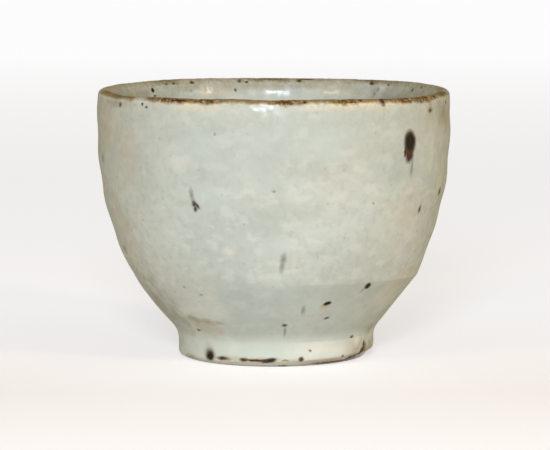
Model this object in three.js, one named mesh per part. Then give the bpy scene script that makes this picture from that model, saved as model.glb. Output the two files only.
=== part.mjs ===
// A squat, wheel-thrown stoneware teacup of the yunomi kind, as a potter builds it up:
// a thrown bowl, a foot ring luted under it, and the coats of glaze that are fired onto both.
// Millimetres, +Z up. The origin is on the table, under the middle of the mouth, and -Y is the front.

import * as THREE from 'three';

// The outside, measured over the glaze

const HEIGHT = 68; // table to the crest of the lip
const MOUTH_RADIUS = 45; // at the widest place of the wall
const WIDEST_BELOW_CREST = 7; // how far the widest place lies under the crest
const LIP_HEIGHT = 1.3; // the rounded lip, from its crest down to the wall
const LIP_DRAWN_IN = 0.2; // the wall leans in by this much between its widest place and the lip
const TRIM_HEIGHT = 21; // the turning tool's cut starts here, under the thrown belly
const TRIM_RADIUS = 36.65;
const BELLY_RUN = 14; // how far the belly keeps its slope above the cut
const BELLY_SLOPE = 0.42; // outwards per millimetre upwards, just above the cut
const UPRIGHT_RUN = 17; // how far the wall stays upright under its widest place

// The walls

const WALL_THICKNESS = 4; // with both coats of glaze, up to the widest place
const LIP_THICKNESS = 2.9; // the wall thins to this at the lip, all from the inside
const FLOOR_THICKNESS = 5.8; // over the foot ring's seat, with the glaze inside
const BOWL_TURN_RUN = 5; // how far the wall inside runs on before it turns to the floor
const BOWL_FLOOR_RADIUS = 22; // the flat middle of the floor's curve

// The foot

const FOOT_RADIUS = 24.8;
const FOOT_HEIGHT = 6.4; // table to the crease where the foot meets the turned cone
const CREASE_FILLET = 2.8; // how far the crease is rounded, each way
const FOOT_BEVEL = 0.5; // the bare edge under the glaze line
const WELL_RADIUS = 17.6; // the hollow inside the ring
const WELL_BEVEL = 0.8;
const WELL_DOME = 0.9; // the turned hollow is deeper in the middle

// The coats of glaze

const OUTER_COAT = 0.6;
const INNER_COAT = 0.5;
const LIP_COAT = 0.35; // glaze runs thin over the lip
const FOOT_COAT = 0.6;

// The marks of the hand

const RING_DEPTH = 0.15; // throwing rings, as one slow spiral up the wall
const RING_PITCH = 12;
const OVALITY = 0.3; // the mouth is this much off round, each way
const OVAL_TURN = 0.6; // radians from the front to the mouth's long way
const LIP_WAVE = 0.12; // the lip dips and rises round the mouth
const LIP_WAVES = 4;
const LIP_WAVE_TURN = 2.2; // radians from the front to one of the rises
const TRIM_TILT = 1.3; // the cut starts higher in front
const CONE_SWELL = 0.75; // the turned cone was left fuller on the left
const FOOT_OFFSET = 0.55; // the foot sits to the right of the mouth's middle
const BEVEL_TILT = 1.25; // the foot's bare edge is cut this much wider on the right than on the left
const TURNING_FADE = 15; // the marks of turning the foot die out this far above the cut

// Facets

const SEGMENTS = 48;
const WALL_ROWS = 16; // up the shown wall; a seat between clay and glaze has half as many
const FLOOR_ROWS = 6;
const FLANK_ROWS = 2;
const LIP_ROWS = 8;
const CONE_ROWS = 2;
const FILLET_ROWS = 4;
const DOME_ROWS = 3;

const LIP_FOOT = HEIGHT - LIP_HEIGHT; // height at which the lip's round starts
const LIP_RADIUS = MOUTH_RADIUS - LIP_DRAWN_IN; // outside radius there
const CLAY_FOOT_RADIUS = FOOT_RADIUS - FOOT_COAT;
const PAD_INSIDE = WELL_RADIUS + WELL_BEVEL; // the flat pad that stands on the table
const PAD_OUTSIDE = CLAY_FOOT_RADIUS - FOOT_BEVEL;

const point = (radius, height) => new THREE.Vector2(radius, height);
const seatRows = (rows) => rows / 2;

// Outlines, each as a list of points that runs up the outside, over the lip and down the inside

// The thrown belly, from the cut up to the widest place, and the flank from there to the lip, both set
// in from the outside: by the wall's inset, which changes to the lip's inset along the flank.
function thrownWall(inset, lipInset, rows) {
  const trim = point(TRIM_RADIUS - inset, TRIM_HEIGHT);
  const widest = point(MOUTH_RADIUS - inset, HEIGHT - WIDEST_BELOW_CREST);
  const lipEdge = point(LIP_RADIUS - lipInset, LIP_FOOT);
  const belly = new THREE.CubicBezierCurve(
    trim,
    trim.clone().add(point(BELLY_SLOPE * BELLY_RUN, BELLY_RUN)),
    widest.clone().sub(point(0, UPRIGHT_RUN)),
    widest,
  );
  const flank = new THREE.QuadraticBezierCurve(widest, point(widest.x, (widest.y + lipEdge.y) / 2), lipEdge);
  return [...belly.getPoints(rows), ...flank.getPoints(FLANK_ROWS).slice(1)];
}

// The rounded crease between the foot and the turned cone.
function crease(inset) {
  const corner = point(FOOT_RADIUS - inset, FOOT_HEIGHT);
  const trim = point(TRIM_RADIUS - inset, TRIM_HEIGHT);
  const alongCone = trim.sub(corner).setLength(CREASE_FILLET);
  return new THREE.QuadraticBezierCurve(
    corner.clone().sub(point(0, CREASE_FILLET)),
    corner,
    corner.clone().add(alongCone),
  );
}

const SEAT_HEIGHT = crease(0).getPoint(0.5).y; // the foot ring meets the bowl half way round the crease

const creaseAbove = (inset) => crease(inset).getPoints(FILLET_ROWS).slice(FILLET_ROWS / 2);
const creaseBelow = (inset) => crease(inset).getPoints(FILLET_ROWS).slice(0, FILLET_ROWS / 2 + 1);

// The bowl's outside: the crease, the turned cone, then the thrown wall.
function bowlOutside(inset, rows) {
  const start = creaseAbove(inset);
  const cone = new THREE.LineCurve(start.at(-1), point(TRIM_RADIUS - inset, TRIM_HEIGHT));
  return [...start, ...cone.getPoints(CONE_ROWS).slice(1, -1), ...thrownWall(inset, inset, rows)];
}

// The lip, as half an ellipse from the outside of the wall to the inside.
function lip(outerInset, crestInset, innerInset) {
  const outer = LIP_RADIUS - outerInset;
  const inner = LIP_RADIUS - LIP_THICKNESS + innerInset;
  const round = new THREE.EllipseCurve(
    (outer + inner) / 2,
    LIP_FOOT,
    (outer - inner) / 2,
    LIP_HEIGHT - crestInset,
    0,
    Math.PI,
  );
  return round.getPoints(LIP_ROWS);
}

// The bowl's inside: down the wall, round the turn and across the floor to the middle.
function bowlInside(outset, rows) {
  const floor = SEAT_HEIGHT + FLOOR_THICKNESS - outset;
  const wall = thrownWall(WALL_THICKNESS - outset, LIP_THICKNESS - outset, rows).reverse();
  const start = wall.at(-1);
  const turn = new THREE.CubicBezierCurve(
    start,
    start.clone().sub(point(BELLY_SLOPE * BOWL_TURN_RUN, BOWL_TURN_RUN)),
    point(BOWL_FLOOR_RADIUS + outset, floor),
    point(0, floor),
  );
  return [...wall, ...turn.getPoints(FLOOR_ROWS).slice(1)];
}

// The hollow under the bowl, from the middle out to the foot ring.
function wellRoof() {
  const dome = new THREE.EllipseCurve(0, SEAT_HEIGHT, WELL_RADIUS, WELL_DOME, Math.PI / 2, 0, true);
  return dome.getPoints(DOME_ROWS);
}

// The hand's marks: every piece is bent alike, so that glaze still lies on clay and clay on clay.
function markByHand(vertex) {
  const { clamp, smoothstep } = THREE.MathUtils;
  const height = vertex.z;
  const radius = Math.hypot(vertex.x, vertex.y);
  const reach = radius / MOUTH_RADIUS; // nothing moves on the axis
  const turn = Math.atan2(vertex.x, -vertex.y); // from the front towards the right
  const rise = smoothstep(height, SEAT_HEIGHT, HEIGHT);

  const ringsShow =
    smoothstep(height, TRIM_HEIGHT, TRIM_HEIGHT + RING_PITCH) *
    (1 - smoothstep(height, HEIGHT - WIDEST_BELOW_CREST, HEIGHT));
  const ring = Math.sin(turn - (2 * Math.PI * (height - TRIM_HEIGHT)) / RING_PITCH);
  const oval = Math.cos(2 * (turn - OVAL_TURN));
  const upCone = clamp((height - SEAT_HEIGHT) / (TRIM_HEIGHT - SEAT_HEIGHT), 0, 1);
  const swell = (Math.sin(Math.PI * upCone) * (1 - Math.sin(turn))) / 2;
  const bevelCut = (BEVEL_TILT * smoothstep(radius, PAD_INSIDE, PAD_OUTSIDE) * (1 + Math.sin(turn))) / 2;
  const outwards =
    reach * (RING_DEPTH * ringsShow * ring + OVALITY * rise * oval + CONE_SWELL * swell) -
    bevelCut * (1 - smoothstep(height, 0, FOOT_BEVEL));

  const nearCut =
    smoothstep(height, SEAT_HEIGHT, TRIM_HEIGHT) *
    (1 - smoothstep(height, TRIM_HEIGHT, TRIM_HEIGHT + TURNING_FADE));
  const nearBevel =
    smoothstep(height, 0, FOOT_BEVEL) * (1 - smoothstep(height, FOOT_BEVEL, SEAT_HEIGHT));
  const lip = LIP_WAVE * Math.cos(LIP_WAVES * (turn - LIP_WAVE_TURN));
  const cut = TRIM_TILT * Math.cos(turn);
  const upwards = reach * (lip * rise + cut * nearCut) + bevelCut * nearBevel;

  const sideways = FOOT_OFFSET * (1 - smoothstep(height, 0, TRIM_HEIGHT + TURNING_FADE));

  vertex.x += outwards * Math.sin(turn) + sideways;
  vertex.y -= outwards * Math.cos(turn);
  vertex.z += upwards;
}

// Turns an outline on the wheel and marks it by hand. An outline that runs anticlockwise, with the
// axis on its left, makes a solid. A coat's outline runs the other way, up the clay that it lies on,
// so that both have the same facets, and its faces are then turned round.
function turned(outline, isCoat) {
  const geometry = new THREE.LatheGeometry(outline, SEGMENTS);
  geometry.rotateX(Math.PI / 2);
  const position = geometry.getAttribute('position');
  const vertex = new THREE.Vector3();
  for (let i = 0; i < position.count; i++) {
    markByHand(vertex.fromBufferAttribute(position, i));
    position.setXYZ(i, vertex.x, vertex.y, vertex.z);
  }
  if (isCoat) geometry.setIndex(Array.from(geometry.index.array).reverse());
  geometry.computeVertexNormals();
  return geometry;
}

const closed = (outline) => [...outline, outline[0].clone()];

// Clay and glaze

const clay = new THREE.MeshStandardMaterial({ color: 0xb39a7c, roughness: 0.9, metalness: 0 });
const milkyGlaze = new THREE.MeshStandardMaterial({ color: 0xcdd1c3, roughness: 0.35, metalness: 0 });
const ironGlaze = new THREE.MeshStandardMaterial({ color: 0x9a7446, roughness: 0.45, metalness: 0 });

function thrownBowl() {
  const outline = [
    ...wellRoof(),
    ...bowlOutside(OUTER_COAT, seatRows(WALL_ROWS)),
    ...lip(OUTER_COAT, LIP_COAT, INNER_COAT).slice(1, -1),
    ...bowlInside(INNER_COAT, seatRows(WALL_ROWS)),
  ];
  return new THREE.Mesh(turned(outline, false), clay);
}

function footRing() {
  const outline = closed([
    point(PAD_INSIDE, 0),
    point(PAD_OUTSIDE, 0),
    point(CLAY_FOOT_RADIUS, FOOT_BEVEL),
    ...creaseBelow(FOOT_COAT),
    point(WELL_RADIUS, SEAT_HEIGHT),
    point(WELL_RADIUS, WELL_BEVEL),
  ]);
  return new THREE.Mesh(turned(outline, false), clay);
}

function outerGlaze() {
  const seat = bowlOutside(OUTER_COAT, seatRows(WALL_ROWS));
  const shown = bowlOutside(0, WALL_ROWS).reverse();
  return new THREE.Mesh(turned(closed([...seat, ...shown]), true), milkyGlaze);
}

function innerGlaze() {
  const seat = bowlInside(INNER_COAT, seatRows(WALL_ROWS));
  const shown = bowlInside(0, WALL_ROWS).reverse();
  return new THREE.Mesh(turned(closed([...seat, ...shown]), true), milkyGlaze);
}

function lipGlaze() {
  const seat = lip(OUTER_COAT, LIP_COAT, INNER_COAT);
  const shown = lip(0, 0, 0).reverse();
  return new THREE.Mesh(turned(closed([...seat, ...shown]), true), ironGlaze);
}

function footGlaze() {
  const seat = [point(CLAY_FOOT_RADIUS, FOOT_BEVEL), ...creaseBelow(FOOT_COAT)];
  const shown = [point(FOOT_RADIUS, FOOT_BEVEL), ...creaseBelow(0)].reverse();
  return new THREE.Mesh(turned(closed([...seat, ...shown]), true), milkyGlaze);
}

const cup = new THREE.Group();
const pieces = {
  thrown_bowl: thrownBowl(),
  foot_ring: footRing(),
  outer_glaze: outerGlaze(),
  inner_glaze: innerGlaze(),
  lip_glaze: lipGlaze(),
  foot_glaze: footGlaze(),
};
for (const [name, mesh] of Object.entries(pieces)) {
  mesh.name = name;
  cup.add(mesh);
}

export default cup;
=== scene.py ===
# %% [markdown]
# # A wheel-thrown teacup
# The object is a squat stoneware teacup without a handle. A potter threw the bowl, turned its foot with
# a knife, dipped it in a milky glaze and fired it until iron came through as brown edges and dark spots.
# The CAD model already holds the true sizes, so it is loaded first as a fixed frame. Every piece made
# here is a finer skin over one of its solids.

# %% The frame
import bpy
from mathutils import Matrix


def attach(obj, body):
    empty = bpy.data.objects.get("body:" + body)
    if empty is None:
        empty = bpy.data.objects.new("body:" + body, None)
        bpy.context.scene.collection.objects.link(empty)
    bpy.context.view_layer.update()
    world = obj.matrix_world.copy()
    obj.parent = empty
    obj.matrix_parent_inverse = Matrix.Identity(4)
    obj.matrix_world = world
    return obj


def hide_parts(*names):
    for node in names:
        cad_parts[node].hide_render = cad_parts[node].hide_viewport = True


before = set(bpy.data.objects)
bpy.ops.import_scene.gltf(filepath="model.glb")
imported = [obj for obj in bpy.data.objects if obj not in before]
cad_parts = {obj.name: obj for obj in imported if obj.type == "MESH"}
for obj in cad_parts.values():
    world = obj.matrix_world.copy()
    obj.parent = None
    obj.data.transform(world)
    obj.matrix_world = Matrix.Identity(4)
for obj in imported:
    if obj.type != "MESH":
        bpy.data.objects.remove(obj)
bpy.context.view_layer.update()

MM = 0.001  # lengths are written in millimetres, and this turns them to metres

# %% [markdown]
# ## The camera
# The photograph looks slightly down on the cup through a long lens, so the mouth is a thin ellipse and
# the sides hardly converge. A camera could be framed by eye, but the ellipses of lip and foot give its
# height and distance, so those are written as real lengths here.

# %% Camera
import math

import bpy
from mathutils import Vector

CAMERA_PLACE = Vector((0.35, -777, 119)) * MM
CAMERA_AIM = Vector((0.35, 0, 33)) * MM
CAMERA_LENS = 200


def put(name, data):
    """A new object in the scene."""
    thing = bpy.data.objects.new(name, data)
    bpy.context.scene.collection.objects.link(thing)
    return thing


camera_data = bpy.data.cameras.new("photo_camera")
camera_data.lens = CAMERA_LENS
camera_data.sensor_fit = "HORIZONTAL"
camera = put("photo_camera", camera_data)
camera.location = CAMERA_PLACE
camera.rotation_euler = (CAMERA_AIM - CAMERA_PLACE).to_track_quat("-Z", "Y").to_euler()
bpy.context.scene.camera = camera
print("camera", round((CAMERA_AIM - CAMERA_PLACE).length, 3), "m from the cup")

# %% [markdown]
# ## The outline
# A thrown pot is a turned body, so one outline from foot to lip describes all of it. The wall could be
# drawn point by point. A few Bezier curves are better, because a hand-thrown wall bends evenly between
# the places where the fingers and the knife set it. All lengths are millimetres until a mesh is done.

# %% Sizes of the thrown wall
HEIGHT = 68  # table to the crest of the lip
MOUTH_RADIUS = 45  # at the widest place
WIDEST_HEIGHT = 61
LIP_FOOT = 66.7  # where the rounded lip starts
LIP_RADIUS = 44.8  # the wall leans in a little above its widest place
TRIM_HEIGHT = 21  # the knife's cut starts here, under the belly
TRIM_RADIUS = 36.65
BELLY_RUN = 14  # how far the belly keeps its slope above the cut
BELLY_SLOPE = 0.42
UPRIGHT_RUN = 17  # how far the wall stays upright under its widest place
WALL_THICKNESS = 4
LIP_THICKNESS = 2.9
SHOULDER_PART = 8  # the belly has so many times the rows of the shoulder above it


def curve(rows, *controls):
    """Points along a Bezier curve through any number of control points, by halving their sides."""
    points = []
    for row in range(rows + 1):
        level = controls
        while len(level) > 1:
            level = [a.lerp(b, row / rows) for a, b in zip(level, level[1:])]
        points.append(level[0])
    return points


def thrown_wall(inset, lip_inset, rows):
    """The wall from the knife's cut up to the lip, set in from the outside of the glaze."""
    cut = Vector((TRIM_RADIUS - inset, TRIM_HEIGHT))
    widest = Vector((MOUTH_RADIUS - inset, WIDEST_HEIGHT))
    lip_edge = Vector((LIP_RADIUS - lip_inset, LIP_FOOT))
    up_slope = cut + BELLY_RUN * Vector((BELLY_SLOPE, 1))
    upright = widest - Vector((0, UPRIGHT_RUN))
    shoulder = Vector((widest.x, (widest.y + lip_edge.y) / 2))
    belly = curve(rows, cut, up_slope, upright, widest)
    return belly + curve(max(rows // SHOULDER_PART, 2), widest, shoulder, lip_edge)[1:]


print("wall from", thrown_wall(0, 0, 8)[0][:], "to", thrown_wall(0, 0, 8)[-1][:])

# %% Sizes of the foot
FOOT_RADIUS = 24.8
FOOT_HEIGHT = 6.4  # table to the crease under the turned cone
CREASE_FILLET = 2.8
FOOT_COAT = 0.6
CLAY_FOOT_RADIUS = FOOT_RADIUS - FOOT_COAT
FOOT_BEVEL = 0.5  # the edge that the glaze was wiped from
WELL_RADIUS = 17.6  # the hollow inside the ring
WELL_BEVEL = 0.8
WELL_DOME = 0.9
PAD_INSIDE = WELL_RADIUS + WELL_BEVEL
PAD_OUTSIDE = CLAY_FOOT_RADIUS - FOOT_BEVEL


def crease(inset, rows):
    """The rounded crease from the upright of the foot to the cone, in an even number of rows."""
    corner = Vector((FOOT_RADIUS - inset, FOOT_HEIGHT))
    up_cone = Vector((TRIM_RADIUS - inset, TRIM_HEIGHT)) - corner
    start = corner - Vector((0, CREASE_FILLET))
    return curve(rows, start, corner, corner + CREASE_FILLET * up_cone.normalized())


SEAT_HEIGHT = crease(0, 2)[1].y
print("the foot ring meets the bowl", round(SEAT_HEIGHT, 2), "mm above the table")

# %% Outlines of outside, inside and lip
FLOOR_THICKNESS = 5.8
FLOOR_HEIGHT = SEAT_HEIGHT + FLOOR_THICKNESS
BOWL_TURN_RUN = 5  # how far the wall inside runs on before it turns to the floor
BOWL_FLOOR_RADIUS = 22
CREASE_ROWS = 16
CONE_PART = 3  # the wall has so many times the rows of the cone below it


def bowl_outside(inset, rows):
    """From the crease, up the turned cone and the thrown wall, to the lip."""
    start = crease(inset, CREASE_ROWS)[CREASE_ROWS // 2:]
    cone = curve(rows // CONE_PART, start[-1], Vector((TRIM_RADIUS - inset, TRIM_HEIGHT)))
    return start + cone[1:-1] + thrown_wall(inset, inset, rows)


def bowl_inside(outset, rows, floor_rows):
    """From the lip down the wall, round the turn and across the floor to the middle."""
    floor = FLOOR_HEIGHT - outset
    wall = thrown_wall(WALL_THICKNESS - outset, LIP_THICKNESS - outset, rows)[::-1]
    down_wall = wall[-1] - BOWL_TURN_RUN * Vector((BELLY_SLOPE, 1))
    on_floor = Vector((BOWL_FLOOR_RADIUS + outset, floor))
    return wall + curve(floor_rows, wall[-1], down_wall, on_floor, Vector((0, floor)))[1:]


def half_ellipse(rows, middle, across, up, start, end):
    """Points on an ellipse from one angle to another, measured from its outer side."""
    angles = [start + (end - start) * row / rows for row in range(rows + 1)]
    return [middle + Vector((across * math.cos(angle), up * math.sin(angle))) for angle in angles]


def lip_round(outer_inset, crest_inset, inner_inset, rows):
    """The lip, over the crest from the outside of the wall to the inside."""
    outer = LIP_RADIUS - outer_inset
    inner = LIP_RADIUS - LIP_THICKNESS + inner_inset
    middle = Vector(((outer + inner) / 2, LIP_FOOT))
    return half_ellipse(rows, middle, (outer - inner) / 2, HEIGHT - LIP_FOOT - crest_inset, 0, math.pi)


print("floor inside", round(bowl_inside(0, 8, 8)[-1].y, 2), "mm above the table")

# %% [markdown]
# ## The marks of the hand
# No thrown cup is quite round: the fingers leave one slow spiral up the wall, the mouth is a little oval,
# the lip rises and dips, and the knife cuts the foot at a tilt. These moves are the CAD model's own, so
# that each skin lies on its solid. They could be a lattice or a displace modifier, but a plain function
# of a point's place moves every piece alike, and so no seam between two pieces can open.

# %% The moves that the CAD model has too
RING_DEPTH = 0.15
RING_PITCH = 12
OVALITY = 0.3
OVAL_TURN = 0.6  # radians from the front to the mouth's long way
LIP_WAVE = 0.12
LIP_WAVES = 4
LIP_WAVE_TURN = 2.2
TRIM_TILT = 1.3  # the cut starts higher in front
CONE_SWELL = 0.75  # the turned cone was left fuller on the left
FOOT_OFFSET = 0.55  # the foot sits to the right of the mouth's middle
BEVEL_TILT = 1.25  # the foot's bare edge is cut wider on the right
TURNING_FADE = 15


def smooth(value, low, high):
    """0 up to low, 1 from high on, and an even S between."""
    share = min(max((value - low) / (high - low), 0), 1)
    return share * share * (3 - 2 * share)


def hill(value, low, top, high):
    """0 outside low and high, and 1 at the top between them."""
    return smooth(value, low, top) * (1 - smooth(value, top, high))


def by_hand(place):
    """Where the potter's hands left a point of the true round cup."""
    height = place.z
    radius = math.hypot(place.x, place.y)
    reach = radius / MOUTH_RADIUS
    turn = math.atan2(place.x, -place.y)
    rise = smooth(height, SEAT_HEIGHT, HEIGHT)
    rings_show = smooth(height, TRIM_HEIGHT, TRIM_HEIGHT + RING_PITCH)
    rings_show *= 1 - smooth(height, WIDEST_HEIGHT, HEIGHT)
    ring = math.sin(turn - math.tau * (height - TRIM_HEIGHT) / RING_PITCH)
    oval = math.cos(2 * (turn - OVAL_TURN))
    up_cone = min(max((height - SEAT_HEIGHT) / (TRIM_HEIGHT - SEAT_HEIGHT), 0), 1)
    swell = math.sin(math.pi * up_cone) * (1 - math.sin(turn)) / 2
    bevel_cut = BEVEL_TILT * smooth(radius, PAD_INSIDE, PAD_OUTSIDE) * (1 + math.sin(turn)) / 2
    outwards = reach * (RING_DEPTH * rings_show * ring + OVALITY * rise * oval + CONE_SWELL * swell)
    outwards -= bevel_cut * (1 - smooth(height, 0, FOOT_BEVEL))
    cut = TRIM_TILT * math.cos(turn) * hill(height, SEAT_HEIGHT, TRIM_HEIGHT, TRIM_HEIGHT + TURNING_FADE)
    lip = LIP_WAVE * math.cos(LIP_WAVES * (turn - LIP_WAVE_TURN))
    upwards = reach * (lip * rise + cut) + bevel_cut * hill(height, 0, FOOT_BEVEL, SEAT_HEIGHT)
    sideways = FOOT_OFFSET * (1 - smooth(height, 0, TRIM_HEIGHT + TURNING_FADE))
    return place + Vector((outwards * math.sin(turn) + sideways, -outwards * math.cos(turn), upwards))


print("crest at the right:", by_hand(Vector((LIP_RADIUS, 0, HEIGHT)))[:])

# %% A cut that fades out
SOFT_CUT = 5  # mm on either side of the cut that are rounded, at the left
CUT_BEND = (TRIM_RADIUS - FOOT_RADIUS) / (TRIM_HEIGHT - FOOT_HEIGHT) - BELLY_SLOPE


def soften_cut(place):
    """Rounds the knife's cut more and more towards the left, where a wet finger went over it."""
    turn = math.atan2(place.x, -place.y)
    run = SOFT_CUT * (1 - math.sin(turn)) / 2
    away = abs(place.z - TRIM_HEIGHT)
    if away >= run:
        return place
    inwards = CUT_BEND * (run - away) ** 2 / (4 * run)
    return place - inwards * Vector((math.sin(turn), -math.cos(turn), 0))


print("the cut bends by a slope of", round(CUT_BEND, 2))

# %% [markdown]
# ## What the fire adds
# Close up, the glaze is not a clean curve. It lies thick and thin over soft dents in the clay, and along
# the lip it has crawled into grains. A bump map could fake that, but these dents change how light slides
# over the wall, so they are moved in the mesh by noise of three sizes. Some marks are of one place: rough
# puddles that sparkle, torn glaze at the right of the foot, and the knife's spiral in the foot's hollow.

# %% Dents, ripples and grains
from mathutils import noise

DENT_SEED = 1
noise.seed_set(DENT_SEED)  # without a seed the noise differs in each run
DENT_SIZE, DENT_DEPTH = 13, 0.1
RIPPLE_SIZE, RIPPLE_DEPTH = 4.2, 0.05
GRAIN_SIZE, GRAIN_DEPTH = 1.3, 0.09
GRAIN_RUN = 1  # how far the grains reach below the lip
DRIP_SIZE, DRIP_DEPTH = 3, 0.09  # waves where the glaze sagged below the lip
PUDDLE_SIZE, PUDDLE_DEPTH = 1.3, 0.15  # rough places where the glaze boiled and set
PUDDLES = [  # their turn, height, reach and depth
    (turn, height, reach, PUDDLE_DEPTH) for turn, height, reach in (
        (-6, 64, 6), (-15.3, 62.6, 4), (-24, 65, 3.4), (24.8, 65.3, 4.5),
        (179, 64.4, 3.4), (172, 64.4, 2.6), (-154, 65, 5), (158, 64.8, 4))
]
BEADS = [  # drops of glaze that each catch the window
    (-6, 65, 1.5, 0.12), (-3.6, 65.4, 1.2, 0.1), (-0.6, 65.6, 1.4, 0.1), (-3.2, 63.8, 1.9, 0.16),
    (-8.8, 64.2, 1.6, 0.14), (2, 64.4, 1.5, 0.12), (-14, 63.2, 1.4, 0.2), (-15.6, 64.6, 1.1, 0.14),
]
TORN = [  # the crack at the right of the foot
    (66, 4.3, 1.1, -0.5), (65.6, 3.3, 1.1, -0.6), (64.4, 2.4, 1.1, -0.6),
    (61.5, 1.7, 1.1, -0.6), (57.5, 1.3, 1.1, -0.5), (53, 1.1, 1.1, -0.4),
    (80, 4, 3.4, 0.55), (70.5, 3, 2, 0.35), (56.5, 5, 2, 0.35), (52, 3, 1.6, 0.2),  # lumps round it
    (-72, 0.6, 4, 0.3),  # and one at the left
]
TORN_RUN = 1  # how far the tear reaches over the pad
SPIRAL_PITCH, SPIRAL_DEPTH = 2.7, 0.14  # the knife's spiral in the hollow of the foot
SPIRAL_FADE = 2
LIP_DIPS = [(-57, 24, 0.5), (50, 34, 0.55), (-13, 15, -0.3)]  # turn and reach in degrees, and depth


def lifted(place, spots, radius):
    """How far outwards a point goes that lies near some spots, each with a turn, height, reach and lift."""
    outwards = place.xy.normalized().to_3d()
    lift = 0
    for turn, height, reach, depth in spots:
        middle = Vector((math.sin(math.radians(turn)), -math.cos(math.radians(turn)), 0))
        away = math.hypot(radius * (outwards - middle).length, place.z - height)
        lift += depth * (1 - smooth(away, 0, reach))
    return lift * outwards


def by_fire(place):
    """Moves a point by the glaze's and the clay's unevenness, but keeps the pad flat on the table."""
    shift = DENT_DEPTH * noise.noise_vector(place / DENT_SIZE)
    shift += RIPPLE_DEPTH * noise.noise_vector(place / RIPPLE_SIZE)
    if place.z > LIP_FOOT - GRAIN_RUN:
        grainy = GRAIN_DEPTH * smooth(place.z, LIP_FOOT - GRAIN_RUN, HEIGHT)
        shift += grainy * noise.noise_vector(place / GRAIN_SIZE)
    if place.z > WIDEST_HEIGHT - DRIP_SIZE:
        sagged = hill(place.z, WIDEST_HEIGHT - DRIP_SIZE, WIDEST_HEIGHT + DRIP_SIZE, HEIGHT)
        shift += DRIP_DEPTH * sagged * noise.noise_vector(place / DRIP_SIZE)
        shift += noise.noise(place / PUDDLE_SIZE) * lifted(place, PUDDLES, MOUTH_RADIUS)
        shift += lifted(place, BEADS, MOUTH_RADIUS)
        turn = math.degrees(math.atan2(place.x, -place.y))
        for middle, reach, depth in LIP_DIPS:
            sunk = depth * (1 - smooth(abs(turn - middle), 0, reach))
            shift.z -= sunk * smooth(place.z, WIDEST_HEIGHT, LIP_FOOT)
    radius = math.hypot(place.x - FOOT_OFFSET, place.y)
    if place.z < SEAT_HEIGHT + CREASE_FILLET and radius > PAD_OUTSIDE - TORN_RUN:
        shift += lifted(place, TORN, FOOT_RADIUS)
    in_hollow = 1 - smooth(radius, WELL_RADIUS - SPIRAL_FADE, WELL_RADIUS)
    in_hollow *= 1 - smooth(place.z, SEAT_HEIGHT, FLOOR_HEIGHT)
    if in_hollow > 0:
        turn = math.atan2(place.x - FOOT_OFFSET, -place.y)
        shift.z += SPIRAL_DEPTH * in_hollow * math.sin(math.tau * radius / SPIRAL_PITCH - turn)
    return place + smooth(place.z, 0, 2 * FOOT_BEVEL) * shift


print("a dent moves the wall by about", DENT_DEPTH, "mm")

# %% [markdown]
# ## Turning an outline
# On the wheel the outline goes round once, and in Blender the spin operator does the same. The outline's
# few points become a ring of edges in a bmesh, the spin closes it with use_merge, and points that meet on
# the axis are merged before the normals are worked out. Each point keeps its height on the wheel in an
# attribute, because lip and foot colours follow that height and not the wavy edge.

# %% Spin a piece
import bmesh

TURNS = 400  # steps round the cup
MERGE_DISTANCE = 0.0005
SHARP_ANGLE = math.radians(50)


def turned(name, outline, is_ring):
    """A named object from an outline that goes round the axis. A ring's outline closes on itself."""
    shape = bmesh.new()
    points = [shape.verts.new((radius, 0, height)) for radius, height in outline]
    for first, second in zip(points, points[1:]):
        shape.edges.new((first, second))
    if is_ring:
        shape.edges.new((points[-1], points[0]))
    line = shape.verts[:] + shape.edges[:]
    axis = {"cent": (0, 0, 0), "axis": (0, 0, 1)}
    bmesh.ops.spin(shape, geom=line, **axis, angle=math.tau, steps=TURNS, use_merge=True)
    bmesh.ops.remove_doubles(shape, verts=shape.verts, dist=MERGE_DISTANCE)
    wheel_height = shape.verts.layers.float.new("wheel_height")
    for vertex in shape.verts:
        vertex[wheel_height] = vertex.co.z
        vertex.co = MM * by_fire(by_hand(soften_cut(vertex.co)))
    bmesh.ops.recalc_face_normals(shape, faces=shape.faces)
    mesh = bpy.data.meshes.new(name)
    shape.to_mesh(mesh)
    shape.free()
    mesh.shade_smooth()
    mesh.set_sharp_from_angle(angle=SHARP_ANGLE)
    print(name, len(mesh.polygons), "faces")
    return put(name, mesh)


# %% [markdown]
# ## The clay
# The bowl's clay shows only inside the foot, where the knife hollowed it, and the ring's clay shows on
# the pad, the bare edge and the inner wall. Both are still whole bodies, because a coat of glaze needs
# something to lie on and the meshes are used by themselves too.

# %% Clay bowl
OUTER_COAT = 0.6
INNER_COAT = 0.5
LIP_COAT = 0.35
SEAT_ROWS = 24  # rows on the faces that a coat hides
SEAT_FLOOR_ROWS = 30
WELL_ROWS = 36
LIP_ROWS = 28

clay_well = half_ellipse(WELL_ROWS, Vector((0, SEAT_HEIGHT)), WELL_RADIUS, WELL_DOME, math.pi / 2, 0)
clay_outside = bowl_outside(OUTER_COAT, SEAT_ROWS)
clay_lip = lip_round(OUTER_COAT, LIP_COAT, INNER_COAT, LIP_ROWS)
clay_inside = bowl_inside(INNER_COAT, SEAT_ROWS, SEAT_FLOOR_ROWS)
bowl_clay = turned("bowl_clay", clay_well + clay_outside + clay_lip[1:-1] + clay_inside, False)

# %% Clay foot ring
PAD_ROWS = 12
EDGE_ROWS = 5
WELL_WALL_ROWS = 16

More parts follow.
